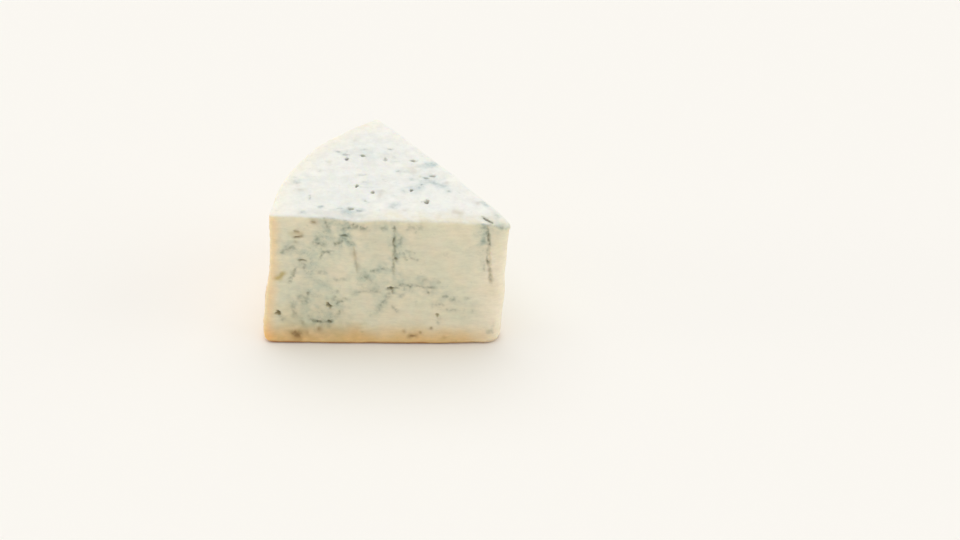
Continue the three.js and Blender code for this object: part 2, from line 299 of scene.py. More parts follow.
# ---------------------------------------------------------------- what shows in the cuts
# Strokes of colour: strength, width, then the points of a line. Haze is the soft veil of young mould.
FRONT_HAZE = [
    (0.47, 4.5, (113, 84), (111, 78), (115, 71), (115, 66)),
    (0.30, 2.5, (106, 82), (98, 81), (88, 81), (77, 80)),
    (0.25, 3.0, (104, 81), (97, 80)),
    (0.70, 3.0, (101, 78), (100.5, 72), (98.5, 69)),
    (0.36, 3.6, (137, 66), (134, 61), (131, 63)),
    (0.28, 5.5, (127, 64), (121.5, 58), (120, 47), (122, 36), (126, 28)),
    (0.10, 8.0, (131, 50), (130, 32), (128, 20)),
    (0.08, 13.0, (120, 70), (118, 32)),
    (0.07, 12.0, (84, 60), (80, 35)),
    (0.06, 12.0, (50, 60), (35, 35)),
    (0.35, 3.0, (126, 55), (125, 50)),
    (0.25, 4.5, (131, 25), (126, 18), (118, 15)),
    (0.35, 5.0, (112, 36), (106, 24), (112, 15)),
    (0.55, 4.6, (88.5, 46), (84, 48), (80, 49.5)),
    (0.30, 4.0, (110, 68), (105, 62)),
    (0.20, 4.0, (105, 80),),
    (0.25, 4.0, (83, 42), (80, 38)),
    (0.20, 5.0, (68, 46), (62, 36)),
    (0.10, 5.0, (128, 12), (118, 11), (100, 12)),
    (0.15, 5.0, (115, 50),),
    (0.12, 4.0, (115, 20),),
    (0.15, 5.0, (86, 70),),
    (0.28, 3.5, (67, 73), (65.5, 64)),
    (0.28, 2.6, (97, 34), (88, 36), (80, 36)),
    (0.30, 2.5, (71, 37), (68, 36.5)),
    (0.45, 2.3, (72, 81), (70, 71), (70, 62), (72, 57)),
    (0.30, 3.6, (70, 40), (62, 41), (54, 42), (48, 40)),
    (0.15, 4.5, (50, 40), (44, 35)),
    (0.20, 4.5, (44, 31), (36, 28), (28, 24)),
    (0.30, 2.6, (75, 35), (78, 28), (83, 22)),
    (0.12, 5.0, (30, 68), (26, 58)),
    (0.90, 2.1, (20, 83), (20, 76), (19.5, 71)),
    (0.50, 2.5, (16, 84), (15, 79)),
    (0.25, 1.5, (19.5, 66), (19.5, 50)),
    (0.70, 2.0, (12, 83), (8, 81), (3.5, 79)),
    (0.25, 2.4, (12.5, 12.5), (15.5, 8.5)),
]
TOP_HAZE = [
    (0.50, 2.4, (-101, 8.5), (-96, 9.5), (-92, 12.5)),
    (0.35, 2.0, (-106, 11.5), (-102.5, 12.5)),
    (0.20, 2.6, (-105, 3), (-93, 4)),
    (0.08, 2.6, (-127, 4), (-112, 4)),
    (0.55, 1.6, (-115, 12),),
    (0.40, 1.6, (-125, 4),),
    (0.35, 2.6, (-132, 38), (-130, 40)),
    (0.22, 2.4, (-127, 48), (-125, 42)),
    (0.12, 2.0, (-129, 30), (-125, 28)),
    (0.28, 1.8, (-109, 74), (-105, 72)),
    (0.16, 6.0, (-102, 69), (-92, 72), (-80, 71)),
    (0.08, 9.0, (-96, 44), (-84, 36)),
    (0.20, 2.4, (-90, 23), (-88, 21)),
    (0.42, 2.6, (-73, 16), (-71, 19)),
    (0.70, 2.6, (-56, 63.5), (-51, 65)),
    (0.34, 2.4, (-53, 49), (-48, 42.5), (-44, 40.5), (-41, 36)),
    (0.30, 4.0, (-54, 48), (-48, 43)),
    (0.45, 2.4, (-64, 36), (-59, 39), (-57, 44)),
    (0.30, 1.8, (-72, 57), (-68, 56.5)),
    (0.35, 1.8, (-63, 48.5),),
    (0.35, 1.8, (-20.5, 24), (-18, 20)),
    (0.35, 1.8, (-13, 11), (-11, 9)),
    (0.50, 2.2, (-12, 1), (-8, 2), (-3, 2)),
]
# Veins are where the mould is old and dark.
FRONT_VEINS = [
    (0.55, 1.0, (112, 85), (111, 82)),
    (0.50, 1.1, (110, 81), (110, 76.5)),
    (0.50, 1.3, (116.5, 71.5), (117.5, 68.5)),
    (0.40, 0.9, (116, 67.5), (112.5, 66.5)),
    (0.50, 0.9, (101, 78), (97, 79.5)),
    (0.80, 1.2, (95.5, 80.5), (91.5, 79.5)),
    (0.50, 1.0, (90, 79.5), (87, 78)),
    (0.50, 1.0, (102.5, 73.5), (99.5, 73.5)),
    (0.60, 0.9, (106.5, 67.5), (103, 69), (101, 71.5), (98.5, 69), (96.5, 68.5)),
    (0.50, 0.9, (113.5, 62), (111.5, 62.5)),
    (0.60, 0.9, (110, 62), (108, 62.5)),
    (0.70, 0.8, (113.5, 61.5), (115, 57.5)),
    (0.48, 1.4, (137.5, 61.5), (134.5, 63.5), (131, 65)),
    (0.40, 1.0, (127.5, 56), (124, 56)),
    (0.45, 1.2, (125, 53), (125, 50)),
    (0.52, 1.2, (130, 49.5), (131.5, 45), (133.5, 41)),
    (0.35, 1.0, (116, 47.5), (114, 47)),
    (0.30, 0.9, (106, 43), (100, 43.5)),
    (0.40, 1.8, (126.5, 29.5), (124, 27)),
    (0.40, 0.9, (123, 33),),
    (0.35, 1.3, (132, 24.5), (131.5, 21.5), (130.5, 17.5)),
    (0.40, 1.2, (138.5, 16.5), (138, 15.5)),
    (0.55, 0.9, (108.5, 29.5), (107, 30)),
    (0.70, 0.8, (106, 27), (103.5, 28)),
    (0.70, 0.8, (102.5, 29.5), (101, 30)),
    (0.50, 0.8, (103.5, 22), (107, 17)),
    (0.50, 1.1, (122.5, 16.5), (120, 14.5)),
    (0.70, 1.1, (117, 13.3),),
    (0.70, 1.1, (110.5, 13.6),),
    (0.40, 0.8, (120, 14), (114, 13.3), (109.5, 13.6)),
    (0.45, 1.2, (126.5, 13),),
    (0.35, 1.1, (105.5, 34.5),),
    (0.35, 1.1, (95.5, 33.5),),
    (0.35, 1.3, (91, 46), (88, 46)),
    (0.40, 1.1, (88.5, 44.5), (86.5, 43.5)),
    (0.50, 1.0, (85.5, 49.5), (83.5, 50), (78, 51.5)),
    (0.35, 0.9, (94, 34.5), (90.5, 35), (86, 36), (81, 35.5)),
    (0.70, 1.3, (77.5, 79),),
    (0.40, 1.2, (75, 35), (76.5, 30), (79.5, 26), (82.5, 22.5)),
    (0.60, 0.8, (73.5, 37.5), (72.5, 35.5)),
    (0.60, 1.0, (71, 39), (67, 41), (63, 39.5)),
    (0.42, 0.9, (63, 39.5), (58, 39.5), (54, 39), (49, 38.5)),
    (0.35, 1.2, (55.5, 43), (54, 43)),
    (0.30, 1.0, (46, 42.5),),
    (0.45, 1.1, (52, 35.5), (51.5, 35)),
    (0.40, 0.9, (68, 33), (67, 33)),
    (0.60, 0.7, (43.5, 32), (41, 32.5)),
    (0.48, 1.3, (38.5, 30.5), (37.5, 30.5)),
    (0.35, 0.9, (33.5, 29.5),),
    (0.45, 0.8, (30.5, 31.5), (29, 31.5)),
    (0.34, 1.3, (48.5, 26), (43.5, 26.5)),
    (0.30, 0.8, (41, 23.5), (36, 23.5)),
    (0.25, 0.9, (26.5, 22.5),),
    (0.50, 0.8, (73.5, 24.5), (71, 22)),
    (0.30, 1.0, (45, 17.5), (46.5, 14.5)),
    (0.50, 1.0, (71.5, 80), (71, 77.5)),
    (0.50, 0.8, (72, 73), (72, 68.5)),
    (0.60, 0.8, (71, 67.5), (71.5, 65), (71.5, 61)),
    (0.65, 1.0, (71, 60), (70.5, 57.5)),
    (0.40, 0.8, (72.5, 57), (72.5, 50)),
    (0.50, 0.9, (68, 72.5), (68.5, 70)),
    (0.50, 0.6, (66.5, 63), (66, 60), (64.5, 58)),
    (0.45, 0.6, (63, 61), (61.5, 59), (58, 58)),
    (0.25, 0.6, (64.5, 64), (59.5, 62.5)),
    (0.25, 2.0, (63, 79.5), (56, 80)),
    (0.06, 1.2, (95.5, 65), (94.5, 58), (93.5, 50)),
    (0.75, 0.8, (17, 79), (16.5, 68)),
    (0.45, 1.2, (19.5, 83), (18.5, 80)),
    (0.40, 1.2, (19.5, 71),),
    (0.40, 0.8, (17.5, 58.5), (17.5, 56)),
    (0.45, 0.7, (17.5, 66), (17.5, 58)),
    (0.30, 0.5, (19.5, 57.5), (19.5, 50)),
    (0.35, 0.8, (17, 57), (16.5, 52.5), (15.5, 43)),
    (0.40, 1.0, (13.5, 13), (12.5, 12)),
    (0.30, 1.1, (17, 8.5), (14.5, 8)),
    (0.45, 0.9, (12, 82.5), (8, 80.5), (4.5, 79.5)),
]
TOP_VEINS = [
    (0.40, 0.8, (-105.5, 71.5), (-102, 71)),
    (0.30, 0.9, (-109.5, 74), (-108, 74)),
    (0.60, 1.0, (-95, 71), (-93, 71)),
    (0.25, 0.8, (-95.5, 77.5), (-92, 78.5)),
    (0.30, 1.0, (-79.5, 80), (-77.5, 80)),
    (0.28, 0.9, (-75.5, 72),),
    (0.16, 0.7, (-76, 67), (-72, 67.5)),
    (0.28, 0.9, (-94.5, 50), (-91, 50.5)),
    (0.22, 0.8, (-92, 42.5), (-90, 42)),
    (0.16, 0.6, (-93.5, 37), (-85, 37.5)),
    (0.20, 0.9, (-90.5, 23.5), (-88, 21)),
    (0.60, 1.0, (-98.5, 13), (-96.5, 13.5)),
    (0.40, 0.8, (-105.5, 11.5), (-103, 12.5)),
    (0.45, 0.8, (-94, 11), (-92, 11.5)),
    (0.30, 1.0, (-115.5, 12), (-115, 13)),
    (0.30, 0.8, (-125.5, 4),),
    (0.28, 0.7, (-122.5, 24), (-122, 19)),
    (0.30, 1.1, (-130.5, 37), (-132.5, 39.5)),
    (0.22, 0.9, (-132, 44),),
    (0.25, 0.9, (-118.5, 52),),
    (0.30, 1.0, (-72, 57),),
    (0.20, 0.8, (-68.5, 56.5),),
    (0.25, 1.0, (-63.5, 48.5),),
    (0.25, 1.0, (-59, 75),),
    (0.50, 1.1, (-52.5, 53), (-50.5, 53)),
    (0.50, 1.0, (-55.5, 50.5), (-54, 50)),
    (0.30, 0.7, (-58.5, 52), (-56, 51)),
    (0.18, 1.3, (-52.5, 47.5), (-48, 42.5), (-44, 40.5)),
    (0.30, 0.9, (-41.5, 36), (-40.5, 35)),
    (0.40, 0.8, (-58, 42.5),),
    (0.40, 0.8, (-59, 39),),
    (0.45, 0.9, (-62.5, 36.5), (-63.5, 36)),
    (0.30, 1.1, (-68, 34),),
    (0.25, 1.2, (-73, 15.5), (-72, 18)),
    (0.45, 0.6, (-56.5, 22.5), (-54.5, 23)),
    (0.30, 1.0, (-20, 23), (-18.5, 20.5)),
    (0.26, 1.0, (-12.5, 10.5), (-11.5, 9.5)),
    (0.30, 1.0, (-12, 0), (-7.5, 1)),
    (0.60, 1.2, (-20, 7), (-15, 3)),
]
# Stains, brown and mostly beside pockets, and then patches of ochre
FRONT_STAINS = [
    (0.10, 1.8, (129.5, 76), (128, 73)),
    (0.45, 0.9, (129.5, 76), (128, 76)),
    (0.50, 0.9, (130, 72), (126, 72.5)),
    (0.35, 0.9, (129.5, 68.5),),
    (0.45, 1.5, (119, 82.5), (118, 82.5)),
    (0.36, 2.0, (131.5, 6.5), (128, 6.5)),
    (0.40, 1.4, (131, 3), (128.5, 3)),
    (0.50, 0.9, (131, 7.5),),
    (0.45, 0.9, (129.5, 4.5),),
    (0.45, 1.0, (124, 6.5),),
    (0.70, 1.2, (117, 9),),
    (0.50, 1.0, (50.5, 10.5),),
    (0.40, 0.9, (57, 7.5),),
    (0.55, 1.1, (63, 5.5), (60, 5.5)),
    (0.45, 1.1, (67, 8),),
    (0.04, 10.0, (80, 70), (60, 72)),
    (0.25, 1.0, (43, 4.5),),
    (0.25, 0.8, (17.5, 58.5), (17.5, 55)),
    (0.20, 0.8, (16.5, 52), (15.5, 44)),
    (0.30, 1.0, (126.5, 13),),
    (0.22, 1.5, (95.5, 62.5), (95, 61)),
    (0.10, 1.2, (95, 60), (93.5, 50)),
    (0.14, 1.0, (93, 54), (92.5, 51)),
]
TOP_STAINS = [
    (0.20, 2.2, (-63, 60.5), (-63, 57.5)),
    (0.30, 2.4, (-36.5, 12), (-34.5, 11)),
    (0.22, 1.8, (-81, 33.5), (-81.5, 28)),
    (0.25, 1.3, (-24, 23), (-24, 22)),
    (0.18, 1.4, (-113.5, 62),),
    (0.18, 1.2, (-99.5, 87.5),),
    (0.18, 1.2, (-129, 30), (-127, 30)),
    (0.22, 1.4, (-43, 44.5),),
    (0.22, 1.2, (-66.5, 12.5),),
    (0.14, 3.5, (-106, 5), (-93, 6)),
    (0.08, 3.0, (-127, 4), (-112, 4)),
]
FRONT_OCHRE = [
    (1.00, 1.5, (140.5, 43), (139, 44.5), (138, 46.5)),
    (0.35, 1.3, (126, 74.5), (132, 74.5)),
    (0.22, 5.0, (137, 10), (134, 16)),
    (0.10, 9.0, (142, 14), (128, 16), (112, 20)),
    (0.28, 4.0, (126, 9), (110, 8), (96, 10)),
    (0.10, 4.0, (66, 10), (54, 9)),
    (0.10, 3.5, (14, 34), (10, 40)),
]

# Pockets: place, length, width, tilt in degrees, depth
FRONT_POCKETS = [
    ((128.5, 76.0), 3.2, 1.4, 8, 0.3),
    ((128.0, 72.0), 4.2, 1.8, -6, 0.8),
    ((141.0, 19.0), 3.4, 3.0, 35, 2.2),
    ((125.5, 56.0), 4.6, 1.8, 0, 0.9),
    ((100.5, 73.5), 4.0, 1.6, 5, 1.0),
    ((104.5, 68.5), 4.4, 1.4, 30, 0.4),
    ((111.0, 25.0), 4.6, 3.0, 35, 2.0),
    ((116.5, 13.5), 2.8, 2.0, 0, 0.9),
    ((111.0, 13.5), 3.2, 2.2, 0, 1.3),
    ((130.0, 6.0), 5.4, 3.4, 10, 0.8),
    ((74.5, 38.0), 4.8, 2.0, -8, 1.9),
    ((47.0, 19.5), 2.4, 2.6, 0, 1.2),
    ((118.5, 82.5), 2.6, 1.8, 10, 0.4),
    ((123.0, 33.0), 1.6, 1.4, 0, 0.5),
    ((73.0, 36.0), 2.6, 1.2, -55, 0.8),
    ((62.0, 59.0), 3.2, 0.8, -20, 0.3),
    ((71.5, 79.0), 2.4, 1.6, 0, 0.8),
    ((72.0, 70.5), 1.5, 4.6, 0, 1.2),
    ((71.5, 64.0), 1.2, 3.0, 0, 0.8),
    ((71.0, 58.5), 2.2, 2.4, 0, 1.2),
    ((17.0, 74.0), 1.2, 7.0, 0, 0.8),
    ((17.5, 57.5), 1.4, 2.8, 0, 0.4),
    ((57.0, 7.5), 1.6, 1.2, 0, 0.3),
    ((61.5, 5.5), 3.0, 1.2, 0, 0.5),
    ((52.0, 35.0), 1.8, 1.4, 30, 0.3),
    ((42.5, 32.0), 2.4, 1.0, 0, 0.3),
    ((50.5, 10.5), 1.6, 1.2, 0, 0.3),
    ((131.0, 46.0), 1.0, 4.0, 20, 0.3),
]
TOP_POCKETS = [
    ((-109.0, 74.0), 3.2, 1.6, 0, 0.3),
    ((-94.0, 71.0), 3.4, 2.4, 0, 1.4),
    ((-63.5, 69.0), 4.2, 2.4, 10, 1.6),
    ((-51.5, 53.0), 4.0, 2.2, -10, 1.2),
    ((-97.5, 13.0), 3.6, 2.4, 0, 1.4),
    ((-53.5, 23.0), 2.6, 5.0, 0, 3.0),
    ((-17.5, 5.0), 8.0, 1.6, -40, 1.9),
    ((-92.5, 11.5), 2.4, 1.0, 0, 0.4),
    ((-104.0, 71.5), 4.0, 1.0, -5, 0.4),
    ((-78.5, 80.0), 2.4, 1.4, 0, 0.4),
    ((-72.0, 57.0), 2.0, 1.6, 0, 0.4),
    ((-55.0, 50.0), 2.4, 1.4, -20, 0.7),
    ((-58.0, 42.5), 1.4, 1.4, 0, 0.4),
    ((-41.0, 35.5), 2.0, 1.6, 0, 0.2),
    ((-89.5, 22.5), 3.0, 1.4, -40, 0.4),
    ((-122.0, 21.5), 1.0, 4.4, 0, 0.3),
    ((-93.0, 50.0), 3.6, 1.2, 5, 0.3),
]
BACK_POCKETS = [
    ((24.0, 52.0), 3.4, 2.0, 20, 1.6),
    ((31.0, 14.0), 2.8, 2.2, 0, 1.2),
    ((46.0, 67.0), 4.6, 2.2, -10, 1.8),
    ((58.0, 28.0), 4.0, 2.4, 25, 1.9),
    ((77.0, 71.0), 3.2, 1.8, 0, 1.2),
    ((84.0, 44.0), 4.8, 2.6, 12, 2.0),
    ((97.0, 19.0), 4.2, 2.6, -20, 1.8),
    ((112.0, 73.0), 4.4, 2.0, 0, 1.5),
    ((120.0, 38.0), 4.0, 2.8, 30, 2.0),
    ((133.0, 61.0), 3.2, 2.0, -15, 1.4),
    ((128.0, 11.0), 4.6, 2.4, 5, 1.4),
]
# Needle holes in the top, with their depths, and needle paths in the upright cuts, from foot to head
TOP_NEEDLES = [
    ((-103.0, 66.5), 2.8),
    ((-80.5, 69.0), 1.0),
    ((-95.5, 38.5), 2.2),
    ((-86.0, 32.0), 2.4),
    ((-63.5, 36.0), 2.8),
]
FRONT_NEEDLES = [((72.5, 48), (71.5, 80)), ((93.5, 49), (95.5, 66)), ((15.5, 43), (17.0, 84))]
BACK_NEEDLES = [((39, 22), (38, 80)), ((65.5, 46), (66, 92)), ((107, 12), (108.5, 58))]


def wandering(draw, place, steps):
    """A line of a few steps that wanders about from a place."""
    heading = draw.uniform(0, 2 * math.pi)
    points = [tuple(place)]
    for _ in range(steps):
        heading += draw.normal(0, WANDER_TURN)
        place = place + draw.uniform(*WANDER_STEP) * np.array([math.cos(heading), math.sin(heading)])
        points.append(tuple(place))
    return points


def drawn_from(draw, ranges):
    return [draw.uniform(*span) for span in ranges]


def drawn_mould(seed, pockets, spare, low, high):
    """Haze and veins, drawn at random, for a cut that was never seen.

    Some wander from its pockets, and the spare ones lie anywhere between its low and its high corner.
    """
    draw = np.random.default_rng(seed)
    haze, veins = [], []
    places = [np.array(place) for place, *_ in pockets]
    places += [draw.uniform(low, high) for _ in range(spare)]
    for place in places:
        line = wandering(draw, place, int(draw.integers(2, 6)))
        haze.append((*drawn_from(draw, HAZE_RANGES), *line))
        for start, end in zip(line[:-1:2], line[1::2]):
            veins.append((*drawn_from(draw, VEIN_RANGES), start, end))
        fleck = draw.uniform(low, high)
        veins.append((*drawn_from(draw, FLECK_RANGES), *wandering(draw, fleck, 1)))
    return haze, veins


class Face:
    """A cut face: how points lie on it, how far they are from it, and what shows in it."""

    def __init__(self, flat, distance, strokes, pockets, needle_paths=()):
        self.flat, self.distance = flat, distance
        self.strokes, self.pockets, self.needle_paths = strokes, pockets, needle_paths

    def nearness(self, p):
        """0 for a point well inside the wedge, and 1 for one on this face."""
        return smoothstep(self.distance(p), *SIDE_BAND)

    def painted(self, flat, kind, wobble):
        """How much of a kind of stroke each point has."""
        bare = np.ones(len(flat))
        for strength, width, *path in self.strokes.get(kind, ()):
            reach = width * (STROKE_WIDTH + STROKE_WOBBLE * wobble)
            bare *= 1 - strength * dome(path_distance(flat, path), reach)
        return 1 - bare

    def hollow(self, flat, wobble):
        """How deep the pockets and needle paths are at each point, and how dark they are inside: partly
        their mould and partly painted shade, deeper pockets darker.
        """
        depth, dark = np.zeros(len(flat)), np.zeros(len(flat))
        for place, length, width, tilt, deepest in self.pockets:
            cos, sin = math.cos(math.radians(tilt)), math.sin(math.radians(tilt))
            turned = (flat - place) @ np.array([[cos, -sin], [sin, cos]])
            reach = np.hypot(turned[:, 0] / (length / 2), turned[:, 1] / (width / 2)) + 0.5 * wobble
            darkest = min(DARKEST, 0.1 + 0.33 * deepest)
            depth = np.maximum(depth, deepest * (1 - smoothstep(reach, *POCKET_WALL)))
            dark = np.maximum(dark, darkest * (1 - smoothstep(reach, *POCKET_SHADE)))
        for path in self.needle_paths:
            reach = path_distance(flat, path) / NEEDLE_RADIUS + 0.6 * wobble
            groove = 1 - smoothstep(reach, *NEEDLE_WALL)
            depth = np.maximum(depth, NEEDLE_PATH_DEPTH * groove)
            dark = np.maximum(dark, NEEDLE_PATH_MOULD_AND_SHADE * groove)
        return depth, dark


def as_pockets(needles):
    """Needle holes are drawn out a little towards the back, the way the needles leant."""
    length, width = HOLE_LENGTH * NEEDLE_RADIUS, HOLE_WIDTH * NEEDLE_RADIUS
    return [(place, length, width, 0, depth) for place, depth in needles]


BACK_HAZE, BACK_VEINS = drawn_mould(
    seed=7, pockets=BACK_POCKETS, spare=22, low=(16, 12), high=(WHEEL_RADIUS - 10, TIP_HEIGHT - 4)
)
FACES = {
    "front": Face(
        FRONT_CUT.flat,
        FRONT_CUT.distance,
        {"haze": FRONT_HAZE, "vein": FRONT_VEINS, "stain": FRONT_STAINS, "ochre": FRONT_OCHRE},
        FRONT_POCKETS,
        FRONT_NEEDLES,
    ),
    "back": Face(
        BACK_CUT.flat,
        BACK_CUT.distance,
        {"haze": BACK_HAZE, "vein": BACK_VEINS},
        BACK_POCKETS,
        BACK_NEEDLES,
    ),
    "top": Face(
        lambda p: p[:, :2],
        top_distance,
        {"haze": TOP_HAZE, "vein": TOP_VEINS, "stain": TOP_STAINS},
        TOP_POCKETS + as_pockets(TOP_NEEDLES),
    ),
}


# ---------------------------------------------------------------- the mesh
def sharp_points(keys):
    """The sharp wedge's points, from their row, place in the row and level, with its faces already wavy."""
    row, place, level = np.array(keys, dtype=float).T
    out_share = row / RADIAL_ROWS
    back_share = np.where(row > 0, place / np.maximum(row, 1), 0.5)
    angle = WEDGE_ANGLE * back_share
    out = np.stack([-np.cos(angle), np.sin(angle), np.zeros(len(row))], axis=1)
    reach = WHEEL_RADIUS * out_share
    p = out * reach[:, None]
    p[:, 2] = level / WALL_ROWS * top_height(p)
    height = p[:, 2]
    rind_shift = out_share * rind_wave(WHEEL_RADIUS * angle, height)
    front_shift = (1 - back_share) * FRONT_CUT.wave(reach, height)
    back_shift = back_share * BACK_CUT.wave(reach, height)
    tip_size = tip_radius(height)
    pull = TIP_PULL * tip_size * np.clip(1 - reach / (TIP_PULL_REACH * tip_size), 0, 1) ** 2
    return (
        p
        + rind_shift[:, None] * out
        + front_shift[:, None] * FRONT_CUT.outward
        + back_shift[:, None] * BACK_CUT.outward
        + pull[:, None] * INTO_WEDGE
    )


def sharp_wedge():
    """The sharp wedge as a lattice: its points, and the three corners of each triangle."""
    keys = {}
    faces = []

    def triangle(*corners):
        faces.append([keys.setdefault(corner, len(keys)) for corner in corners])

    bottom, top = 0, WALL_ROWS
    for row in range(RADIAL_ROWS):
        for place in range(row + 1):
            triangle((row, place, top), (row + 1, place + 1, top), (row + 1, place, top))
            triangle((row, place, bottom), (row + 1, place, bottom), (row + 1, place + 1, bottom))
            if place < row:
                triangle((row, place, top), (row, place + 1, top), (row + 1, place + 1, top))
                triangle((row, place, bottom), (row + 1, place + 1, bottom), (row, place + 1, bottom))

    outline = [(row, 0) for row in range(RADIAL_ROWS)]
    outline += [(RADIAL_ROWS, place) for place in range(RADIAL_ROWS)]
    outline += [(row, row) for row in range(RADIAL_ROWS, 0, -1)]
    for here, following in zip(outline, outline[1:] + outline[:1]):
        for level in range(WALL_ROWS):
            triangle((*here, level), (*following, level + 1), (*following, level))
            triangle((*here, level), (*here, level + 1), (*following, level + 1))
    return sharp_points(list(keys)), np.array(faces)


def wanted_edge(p):
    """The longest edge allowed at each point.

    It is short on the sides that show, and shorter where two sides meet and at pockets, needle paths and
    veins.
    """
    rind = rind_distance(p)
    near = {name: face.nearness(p) for name, face in FACES.items()}
    shown = np.maximum(near["front"], near["top"]) > 0.5
    wanted = np.where(shown | (rind > -1.5), SHOWN_EDGE, HIDDEN_EDGE)
    near_sides = np.sum([*near.values(), smoothstep(rind, *SIDE_BAND)], axis=0)
    wanted[near_sides > MEETING] = DETAIL_EDGE
    settled = sag(p)
    for name, face in FACES.items():
        here = near[name] > 0.5
        flat = face.flat(settled[here])
        close = face.painted(flat, "vein", 0) > VEIN_SHOWS
        for place, length, width, _, _ in face.pockets:
            close |= np.linalg.norm(flat - place, axis=1) < 0.5 * max(length, width) + 0.5
        for path in face.needle_paths:
            close |= path_distance(flat, path) < 1.2 * NEEDLE_RADIUS
        wanted[here] = np.where(close, DETAIL_EDGE, wanted[here])
    return wanted


def refine(points, faces):
    """Splits every edge that is longer than wanted, and the triangles beside it to match."""
    sides = np.sort(faces[:, [[0, 1], [1, 2], [2, 0]]].reshape(-1, 2))
    edges, edge_of = np.unique(sides, axis=0, return_inverse=True)
    ends = points[edges]
    middles = ends.mean(axis=1)
    split = np.linalg.norm(ends[:, 0] - ends[:, 1], axis=1) > wanted_edge(middles)
    new_point = np.where(split, len(points) + np.cumsum(split) - 1, -1)
    middle_of = new_point[edge_of.reshape(-1, 3)]
    split_count = np.sum(middle_of >= 0, axis=1)

    refined = [faces[split_count == 0]]
    for count in (1, 2, 3):
        chosen = split_count == count
        corners, middle = faces[chosen], middle_of[chosen]
        # Each triangle is turned so that its one split edge comes first, or its one whole edge last.
        if count == 1:
            first = np.argmax(middle >= 0, axis=1)
        elif count == 2:
            first = np.argmin(middle, axis=1) - 2
        else:
            first = np.zeros(len(corners), dtype=int)
        turn = (first[:, None] + np.arange(3)) % 3
        a, b, c = np.take_along_axis(corners, turn, axis=1).T
        ab, bc, ca = np.take_along_axis(middle, turn, axis=1).T
        if count == 1:
            pieces = [(a, ab, c), (ab, b, c)]
        elif count == 2:
            pieces = [(ab, b, bc), (a, ab, bc), (a, bc, c)]
        else:
            pieces = [(a, ab, ca), (ab, b, bc), (ca, bc, c), (ab, bc, ca)]
        refined += [np.stack(piece, axis=1) for piece in pieces]
    return np.vstack([points, middles[split]]), np.vstack(refined)


def marks_in_cuts(p):
    """Marks in the cuts: their paint, how deep they lie, and how far each point is part of a cut."""
    warp = np.stack([noise(p, 6.5, 3.1), noise(p, 6.5, 7.7)], axis=1)
    warp += 0.5 * np.stack([noise(p, 2.2, 1.3), noise(p, 2.2, 5.9)], axis=1)
    wobble = noise(p, 3.0, 8.3)
    crumble = noise(p, 1.5, 9.2)
    clouds = np.clip(0.88 + 0.5 * noise(p, 6.0, 0.4) + 0.3 * noise(p, 2.2, 2.4), 0, 1.5)
    flecks = np.clip(0.85 + 0.9 * noise(p, 1.8, 6.4), 0.1, 1.4)
    settled = sag(p)

    paint = {name: np.zeros(len(p)) for name in (*STROKE_WARP, "dark")}
    depth, cut = np.zeros(len(p)), np.zeros(len(p))
    for face in FACES.values():
        near = face.nearness(p)
        here = near > 0
        flat = face.flat(settled[here])
        hollow, dark = face.hollow(flat + POCKET_WARP * warp[here], crumble[here])
        layers = {"dark": dark}
        for kind, share in STROKE_WARP.items():
            layers[kind] = face.painted(flat + share * warp[here], kind, wobble[here])
        layers["haze"] *= clouds[here]
        layers["vein"] *= flecks[here]
        for name, layer in layers.items():
            paint[name][here] = np.maximum(paint[name][here], near[here] * layer)
        depth[here] = np.maximum(depth[here], near[here] * (hollow + VEIN_DEPTH * layers["vein"]))
        cut = np.maximum(cut, near)
    return paint, depth, cut


def broad_paint(p, outward, cut):
    """Paint that follows the wedge's form: where its top and its rind are, where its paste is warmer, and
    where light and shade are painted in.
    """
    height, inward, from_tip = p[:, 2], -rind_distance(p), from_axis(p)
    away_from_tip = 1 - dome(from_tip, 22)
    near_front_cut = 1 - smoothstep(p[:, 1] + 3 * noise(p, 12, 1.7), 2.0, 16.0)
    # Creases of the rind lie mostly level, where the cloth was wound round the wheel.
    folds = np.abs(noise(p * (0.45, 0.45, 1) + 1.5 * noise(p, 9, 3.3)[:, None], 5.0, 4.9))
    return {
        # Where the top cut is: its paste is painted whiter there, as light from above, and its pockets
        # greyer
        "top": FACES["top"].nearness(p) * smoothstep(outward[:, 2], 0.2, 0.9),
        "rind": (1 - cut) * (1 - smoothstep(np.minimum(inward, height), 0.2, 1.2)),
        "edge": np.clip(1 - (inward + 1.2 * noise(p, 9, 4.4)) / RIM_REACH, 0, 1),
        # Warm foot: partly rind colour, partly painted bounce light and shade near the floor
        "foot": away_from_tip * (1 - smoothstep(height + 1.8 * noise(p, 11, 6.1), 1.0, FOOT_HEIGHT)),
        # Painted contact shadow in the lowest two millimetres
        "base": away_from_tip * (1 - smoothstep(height + 0.4 * noise(p, 7, 2.2), 0.5, 2.0)),
        # Painted glow of light through the thin tip, weaker above about half its height
        "tip": (1 - smoothstep(from_tip, 10, TIP_REACH)) * (1 - 0.8 * smoothstep(height, 45, 75)),
        "cream": near_front_cut * (1 - smoothstep(from_tip + 6 * noise(p, 14, 5.3), 78, 96)),
        "crease": 1 - smoothstep(folds, 0.0, 0.4),
    }


def dress(p, outward):
    """Relief and paint of the wedge: how far each point stands out, and how much of each colour it has."""
    paint, depth, cut = marks_in_cuts(p)
    paint.update(broad_paint(p, outward, cut))
    curds = 0.11 * noise(p, 9, 0.9) + 0.07 * noise(p, 4, 1.9) + 0.04 * noise(p, 1.9, 2.9)
    drag = 0.05 * noise(p * (0.12, 0.12, 1), 1.7, 3.9)
    crust = 0.4 * noise(p, 13, 4.9) + 0.25 * noise(p, 4, 5.9) + 0.12 * noise(p, 2.6, 6.9)
    crust -= 0.25 * paint["crease"]
    above_floor = smoothstep(p[:, 2], 0, 2)
    relief = cut * (curds + drag) + paint["rind"] * crust * (0.2 + 0.8 * above_floor) - depth
    return relief, paint


